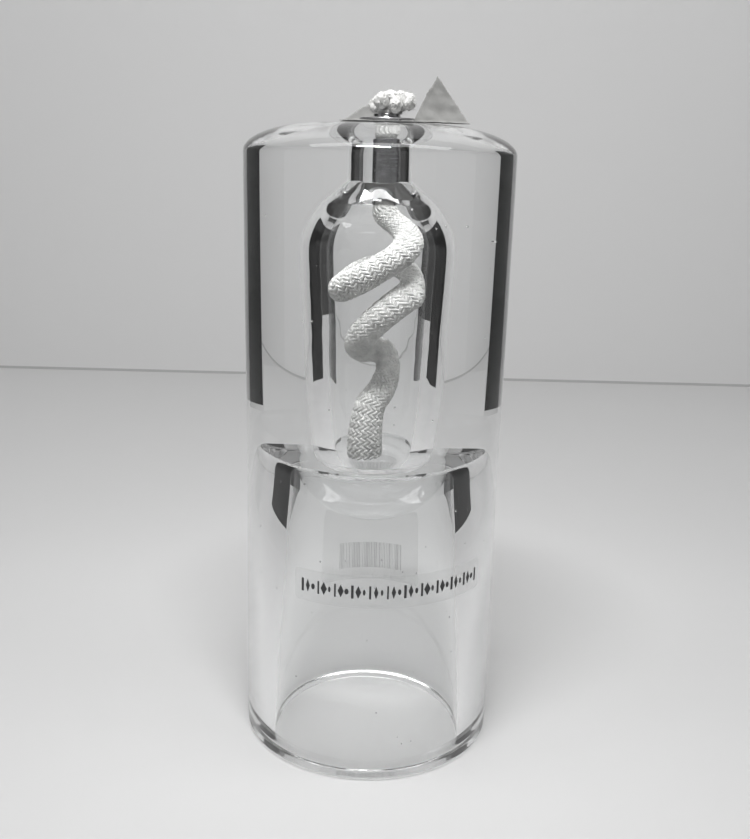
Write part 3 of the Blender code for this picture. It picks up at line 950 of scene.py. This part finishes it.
def make_collar(s):
    """A torn scrap of paper round the holder, with a tall and a low corner folded up."""
    tall_fold, low_fold = 4.6, 7.4
    round_hole = np.linspace(0, TURN, 40, endpoint=False)
    hole = [(HOLE_RADIUS * math.cos(t), HOLE_RADIUS * math.sin(t)) for t in round_hole]
    outline = [(-11.0, -5.6), (-8.6, -7.9), (-6.4, -9.6), (-2.8, -8.6), (0.8, -8.4), (4.4, -9.1)]
    outline += [(8.6, -9.2), (14.6, -5.4), (19.0, -0.5), (20.1, 4.6), (15.7, 10.6), (11.8, 15.8)]
    outline += [(11.1, 14.4), (10.5, 13.2), (9.9, 12.6), (9.3, 11.6), (9.2, 11.0), (8.4, 9.6)]
    outline += [(8.0, 8.7), (7.3, 7.2), (6.9, 6.2), (6.2, 4.5), (3.0, 4.5), (0.6, 6.6), (-0.4, 7.4)]
    outline += [(-1.2, 11.0), (-3.8, 12.4), (-6.6, 10.9), (-11.2, 7.5), (-10.4, 4.6), (-9.4, 1.2)]
    outline += [(-10.4, -2.2)]
    rng = np.random.default_rng(5)
    edge = []
    for (x0, y0), (x1, y1) in zip(outline, outline[1:] + outline[:1]):
        steps = max(1, round(math.dist((x0, y0), (x1, y1)) / 0.45))
        for i in range(steps):
            fray = rng.normal(0, 0.05, 2) if i else (0.0, 0.0)
            edge.append((x0 + (x1 - x0) * i / steps + fray[0], y0 + (y1 - y0) * i / steps + fray[1]))
    inside = []
    for x in np.arange(-12, 21, 0.45):
        for y in np.arange(-10, 16.5, 0.45):
            inside.append((x + rng.uniform(-0.08, 0.08), y + rng.uniform(-0.08, 0.08)))
    points = [Vector(p) for p in edge + hole + inside]
    rims = [list(range(len(edge))), list(range(len(edge), len(edge) + len(hole)))]
    flat = geometry.delaunay_2d_cdt(points, [], rims, 0, 0.001)
    shape = bmesh.new()
    verts = [shape.verts.new((p.x, p.y, 0.0)) for p in flat[0]]
    for face, origins in zip(flat[2], flat[5]):
        middle = sum((flat[0][i] for i in face), Vector((0, 0))) / 3
        if 0 in origins and middle.length > HOLE_RADIUS:
            shape.faces.new([verts[i] for i in face])
    bmesh.ops.delete(shape, geom=[v for v in shape.verts if not v.link_faces], context="VERTS")
    base = PAPER_LOW.z + 0.1 * MM
    for vert in shape.verts:
        x, y = vert.co.x, vert.co.y
        fold, lean = (tall_fold, 84.0) if x > 3.0 else (low_fold, 80.0)
        bend = 0.5
        past = max(0.0, y - fold)
        turn = min(past / bend, math.radians(lean))
        straight = max(0.0, past - bend * math.radians(lean))
        along = min(y, fold) + bend * math.sin(turn) + straight * math.cos(turn)
        up = bend * (1 - math.cos(turn)) + straight * math.sin(turn)
        crumple = 0.22 * noise.noise(Vector((x, y, 3.0)) * 0.45)
        crumple += 0.05 * noise.noise(Vector((x, y, 9.0)) * 2.2)
        curl = 0.012 * straight * straight
        lift = crumple * min(1.0, 0.25 + straight)
        along += (lift - curl) * math.sin(turn)
        up += abs(crumple) * 0.4 * (1 - min(1.0, past))
        vert.co = Vector((HOLDER_X + x * MM, along * MM, base + up * MM))
    bmesh.ops.recalc_face_normals(shape, faces=shape.faces)
    collar = as_object("torn_paper", shape)
    sheet = collar.modifiers.new("thickness", "SOLIDIFY")
    sheet.thickness = s.paper_thickness
    sheet.offset = 0.0
    graph = bpy.context.evaluated_depsgraph_get()
    collar.data = bpy.data.meshes.new_from_object(collar.evaluated_get(graph))
    collar.modifiers.clear()
    outward(collar)
    give(collar, paper_finish(s))
    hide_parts("paper_collar")
    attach(collar, "holder")


def strip(name, heights, angles, radius, thickness, corner):
    """A closed thin strip with rounded corners that wraps the vertical axis; angles in degrees from +X."""
    shape = bmesh.new()
    wide = math.radians(angles[1] - angles[0]) * radius
    tall = heights[1] - heights[0]
    rows, columns = 16, round(wide / (0.6 * MM))
    grid = []
    for j in range(rows + 1):
        up = tall * j / rows
        into_corner = max(0.0, corner - min(up, tall - up))
        inset = corner - math.sqrt(max(0.0, corner**2 - into_corner**2))
        row = []
        for i in range(columns + 1):
            along = inset + (wide - 2 * inset) * i / columns
            turn = math.radians(angles[0]) + along / radius
            row.append(shape.verts.new((radius * math.cos(turn), radius * math.sin(turn), heights[0] + up)))
        grid.append(row)
    for lower, upper in zip(grid, grid[1:]):
        for i in range(columns):
            shape.faces.new((lower[i], lower[i + 1], upper[i + 1], upper[i]))
    bmesh.ops.solidify(shape, geom=shape.faces[:], thickness=-thickness)
    bmesh.ops.recalc_face_normals(shape, faces=shape.faces)
    return as_object(name, shape)


def arc_guide(name, radius, height, angles):
    turns = np.radians(np.linspace(*angles, 60))
    return polyline(name, [(radius * math.cos(t), radius * math.sin(t), height) for t in turns])


def label_angles(low, high, facing):
    """The span of a label as angles from +X, from its box in the frame."""
    spans = [math.degrees(math.asin(max(-1.0, min(1.0, x / LABEL_RADIUS)))) for x in (low.x, high.x)]
    return [facing + spans[0], facing + spans[1]] if facing < 0 else [facing - spans[1], facing - spans[0]]


def make_labels(s):
    """A clear film with a row of plain printed shapes, and a paper sticker with upright bars."""
    ink = ink_finish(s, "film_ink", 1.0)
    radius = BODY_RADIUS - LABEL_LIFT
    front = label_angles(FRONT_LOW, FRONT_HIGH, -90.0)
    film = strip("film_label", (FRONT_LOW.z, FRONT_HIGH.z), front, radius, 0.06 * MM, 0.9 * MM)
    give(film, film_finish(s))
    marks = marks_tree()
    middle = (FRONT_LOW.z + FRONT_HIGH.z) / 2
    guide = arc_guide("front_guide", radius + 0.09 * MM, middle, (front[0] + 4.0, front[1] - 4.0))
    sizes = {"Height": 3.3 * MM, "Narrow": 0.36 * MM, "Wide": 0.72 * MM, "Thickness": 0.04 * MM}
    sizes |= {"Marks": 34, "Kinds": 3, "Seed": 4, "Finish": ink}
    print_front = outward(grown("film_print", guide, marks, sizes))
    back = label_angles(BACK_LOW, BACK_HIGH, 90.0)
    sticker = strip("paper_sticker", (BACK_LOW.z, BACK_HIGH.z), back, radius, 0.10 * MM, 0.8 * MM)
    give(sticker, sticker_finish(s))
    centre = (back[0] + back[1]) / 2
    low = BACK_LOW.z + 8 * MM
    guide = arc_guide("back_guide", radius + 0.13 * MM, low, (centre - 21.0, centre + 21.0))
    sizes |= {"Height": 8.5 * MM, "Narrow": 0.16 * MM, "Wide": 0.62 * MM, "Marks": 38, "Kinds": 1, "Seed": 9}
    sizes["Finish"] = ink_finish(s, "sticker_ink", 0.22)
    print_back = outward(grown("sticker_print", guide, marks, sizes))
    for piece, node, name in (
        (film, "front_label", "label_film"),
        (print_front, None, "label_film"),
        (sticker, "back_label", "label_paper"),
        (print_back, None, "label_paper"),
    ):
        if node:
            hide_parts(node)
        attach(piece, "root")


# ---- the stage ---------------------------------------------------------------------------------
def quad(name, corners, finish):
    mesh = bpy.data.meshes.new(name)
    mesh.from_pydata(corners, [], [tuple(range(len(corners)))])
    thing = give(add_object(name, mesh), finish)
    thing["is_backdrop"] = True
    return thing


def make_room(s):
    """The table, four walls, and a grey strip where the table meets the back wall, painted shade for the dark
    line there.
    """
    floor = plain_finish("table_top", tuple(s.floor), 9.0)
    wall = plain_finish("studio_wall", tuple(s.wall), 3.0)
    side, back, front, high = s.side, s.back, -s.side, 0.9
    below = -0.05 * MM
    # painted shade: a grey strip sloping from the table to the foot of the back wall, standing in for the
    # shadow where they meet
    painted_corner_shade = plain_finish("wall_gap", (0.46, 0.46, 0.46), 40.0)
    near, top = back - 0.5 * MM, 1.5 * MM
    quad("painted_corner_shade", [(-side, near, 0.0), (side, near, 0.0), (side, back, top), (-side, back, top)], painted_corner_shade)
    edges = ((-side, front), (side, front), (side, back), (-side, back))
    quad("table", [(*place, below) for place in edges], floor)
    corners = [(-side, back), (side, back), (side, front), (-side, front)]
    for i, (start, end) in enumerate(zip(corners, corners[1:] + corners[:1])):
        quad(f"wall_{i}", [(*start, below), (*end, below), (*end, high), (*start, high)], wall)


def make_cards(s):
    """Dark and grey cards each side of the lamp, seen only in and through the glass, which draw its edges;
    they glow at a fixed dim shade instead of being lit, dark sheets standing in for the shade of the room
    round the lamp.
    """
    cards = [("dark", 0.004, 0.003, 40.0, 72.0), ("grey", 0.03, 0.03, 72.3, 100.0)]
    for sign in (-1, 1):
        for name, shade, low, start, end in cards:
            constants = {"Base_Color": (0, 0, 0), "Emission_Strength": 1.0, "Roughness": 1.0}
            card = Finish(f"{name}_card_{sign + 1}", **constants)
            # painted shade: each card's look is this fixed glow, not light that falls on it
            card.shader.inputs["Emission Color"].default_value = (shade, shade, shade, 1.0)
            turns = np.radians(np.linspace(start, end, 10)) * sign
            ring = [(s.card_distance * math.sin(t), s.card_distance * math.cos(t)) for t in turns]
            for i, (first, second) in enumerate(zip(ring, ring[1:])):
                high = s.card_height
                corners = [(*first, low), (*second, low), (*second, high), (*first, high)]
                piece = quad(f"{name}_card_{sign + 1}_{i}", corners, card.material)
                piece.visible_camera = False
                piece.visible_diffuse = False
                piece.visible_shadow = False


def make_lamp(name, size, place, target, power):
    light = bpy.data.lights.new(name, "AREA")
    light.shape = "RECTANGLE"
    light.size, light.size_y = size
    light.energy = power
    lamp = add_object(name, light)
    lamp.location = place
    way = Vector(target) - Vector(place)
    lamp.rotation_euler = way.to_track_quat("-Z", "Y").to_euler()
    return lamp


def make_camera(s):
    camera = bpy.data.cameras.new("camera")
    camera.sensor_width = 36.0
    camera.lens = FOCAL_LENGTH
    camera.clip_start = 0.01
    holder = add_object("camera", camera)
    pitch, roll = math.radians(CAMERA_PITCH), math.radians(CAMERA_ROLL)
    ahead = Vector((0, math.cos(pitch), -math.sin(pitch)))
    up = Vector((0, math.sin(pitch), math.cos(pitch)))
    right = Vector((1, 0, 0))
    tilted_right = right * math.cos(roll) + up * math.sin(roll)
    tilted_up = up * math.cos(roll) - right * math.sin(roll)
    turn = Matrix((tilted_right, tilted_up, -ahead)).transposed().to_4x4()
    place = (CAMERA_ASIDE * BODY_RADIUS, -s.camera_distance, s.camera_height)
    holder.matrix_world = Matrix.Translation(place) @ turn
    bpy.context.scene.camera = holder


def make_lights(s):
    world = bpy.data.worlds.new("soft_room")
    world.use_nodes = True
    world.node_tree.nodes["Background"].inputs["Strength"].default_value = s.room
    bpy.context.scene.world = world
    make_lamp("ceiling", (0.9, 0.9), (0.0, -0.1, 0.88), (0, -0.1, 0), s.fill)
    make_lamp("key_strip", (0.065, 0.02), (-0.012, -0.085, 0.32), (0, 0, 0.1), s.key)
    make_lamp("wall_wash", (1.2, 0.3), (0.0, -0.1, 0.87), (0, 0.41, 0.1), s.front)
    scene = bpy.context.scene
    scene.view_settings.view_transform = "Standard"
    scene.cycles.max_bounces = 20
    scene.cycles.transmission_bounces = 20
    scene.cycles.glossy_bounces = 12
    scene.cycles.transparent_max_bounces = 24


# ---- the add-on --------------------------------------------------------------------------------
class OILLAMP_OT_stage(bpy.types.Operator):
    """Builds the table, the walls, the lights and the camera"""

    bl_idname = "oil_lamp.stage"
    bl_label = "Stage"

    def execute(self, context):
        s = context.scene.oil_lamp_stage
        make_camera(s)
        make_room(s)
        make_cards(s)
        make_lights(s)
        return {"FINISHED"}


class OILLAMP_OT_wick(bpy.types.Operator):
    """Braids the wick that coils down inside the reservoir"""

    bl_idname = "oil_lamp.wick"
    bl_label = "Wick"

    def execute(self, context):
        make_wick(context.scene.oil_lamp_wick)
        return {"FINISHED"}


class OILLAMP_OT_tuft(bpy.types.Operator):
    """Fluffs out the wick's upper end"""

    bl_idname = "oil_lamp.tuft"
    bl_label = "Tuft"

    def execute(self, context):
        make_tuft(context.scene.oil_lamp_wick)
        return {"FINISHED"}


class OILLAMP_OT_glass(bpy.types.Operator):
    """Turns the glass body"""

    bl_idname = "oil_lamp.glass"
    bl_label = "Glass"

    def execute(self, context):
        make_glass(context.scene.oil_lamp_glass)
        return {"FINISHED"}


class OILLAMP_OT_seeds(bpy.types.Operator):
    """Scatters small bubbles in the glass"""

    bl_idname = "oil_lamp.seeds"
    bl_label = "Seeds"

    def execute(self, context):
        make_seeds(context.scene.oil_lamp_glass)
        return {"FINISHED"}


class OILLAMP_OT_holder(bpy.types.Operator):
    """Draws the steel wick holder"""

    bl_idname = "oil_lamp.holder"
    bl_label = "Holder"

    def execute(self, context):
        make_holder(context.scene.oil_lamp_fittings)
        return {"FINISHED"}


class OILLAMP_OT_collar(bpy.types.Operator):
    """Tears and folds the paper collar"""

    bl_idname = "oil_lamp.collar"
    bl_label = "Paper collar"

    def execute(self, context):
        make_collar(context.scene.oil_lamp_fittings)
        return {"FINISHED"}


class OILLAMP_OT_labels(bpy.types.Operator):
    """Sticks on the film label and the paper sticker"""

    bl_idname = "oil_lamp.labels"
    bl_label = "Labels"

    def execute(self, context):
        make_labels(context.scene.oil_lamp_fittings)
        return {"FINISHED"}


class OILLAMP_PT_panel(bpy.types.Panel):
    """Lists the lamp's pieces and their settings"""

    bl_idname = "OILLAMP_PT_panel"
    bl_label = "Oil Lamp"
    bl_space_type = "VIEW_3D"
    bl_region_type = "UI"
    bl_category = "Oil Lamp"

    def draw(self, context):
        layout = self.layout
        for group, operators in GROUPS.items():
            box = layout.box()
            settings = getattr(context.scene, group)
            for name in settings.bl_rna.properties.keys():
                if name not in ("rna_type", "name"):
                    box.prop(settings, name)
            for operator in operators:
                box.operator(operator.bl_idname)


GROUPS = {
    "oil_lamp_stage": [OILLAMP_OT_stage],
    "oil_lamp_wick": [OILLAMP_OT_wick, OILLAMP_OT_tuft],
    "oil_lamp_glass": [OILLAMP_OT_glass, OILLAMP_OT_seeds],
    "oil_lamp_fittings": [OILLAMP_OT_holder, OILLAMP_OT_collar, OILLAMP_OT_labels],
}
SETTINGS = {
    "oil_lamp_stage": StageSettings,
    "oil_lamp_wick": WickSettings,
    "oil_lamp_glass": GlassSettings,
    "oil_lamp_fittings": FittingSettings,
}


def classes():
    operators = [operator for group in GROUPS.values() for operator in group]
    return [*SETTINGS.values(), *operators, OILLAMP_PT_panel]


def register():
    for cls in classes():
        bpy.utils.register_class(cls)
    for name, kind in SETTINGS.items():
        setattr(bpy.types.Scene, name, PointerProperty(name=name, type=kind))


def unregister():
    for name in SETTINGS:
        delattr(bpy.types.Scene, name)
    for cls in reversed(classes()):
        bpy.utils.unregister_class(cls)


def main():
    register()
    bpy.ops.oil_lamp.stage()
    bpy.ops.oil_lamp.wick()
    bpy.ops.oil_lamp.tuft()
    bpy.ops.oil_lamp.glass()
    bpy.ops.oil_lamp.seeds()
    bpy.ops.oil_lamp.holder()
    bpy.ops.oil_lamp.collar()
    bpy.ops.oil_lamp.labels()
    sizes = {"cad": cad_bounds, "visual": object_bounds()}
    sizes = {name: [[float(value) for value in corner] for corner in box] for name, box in sizes.items()}


if __name__ == "__main__":
    main()
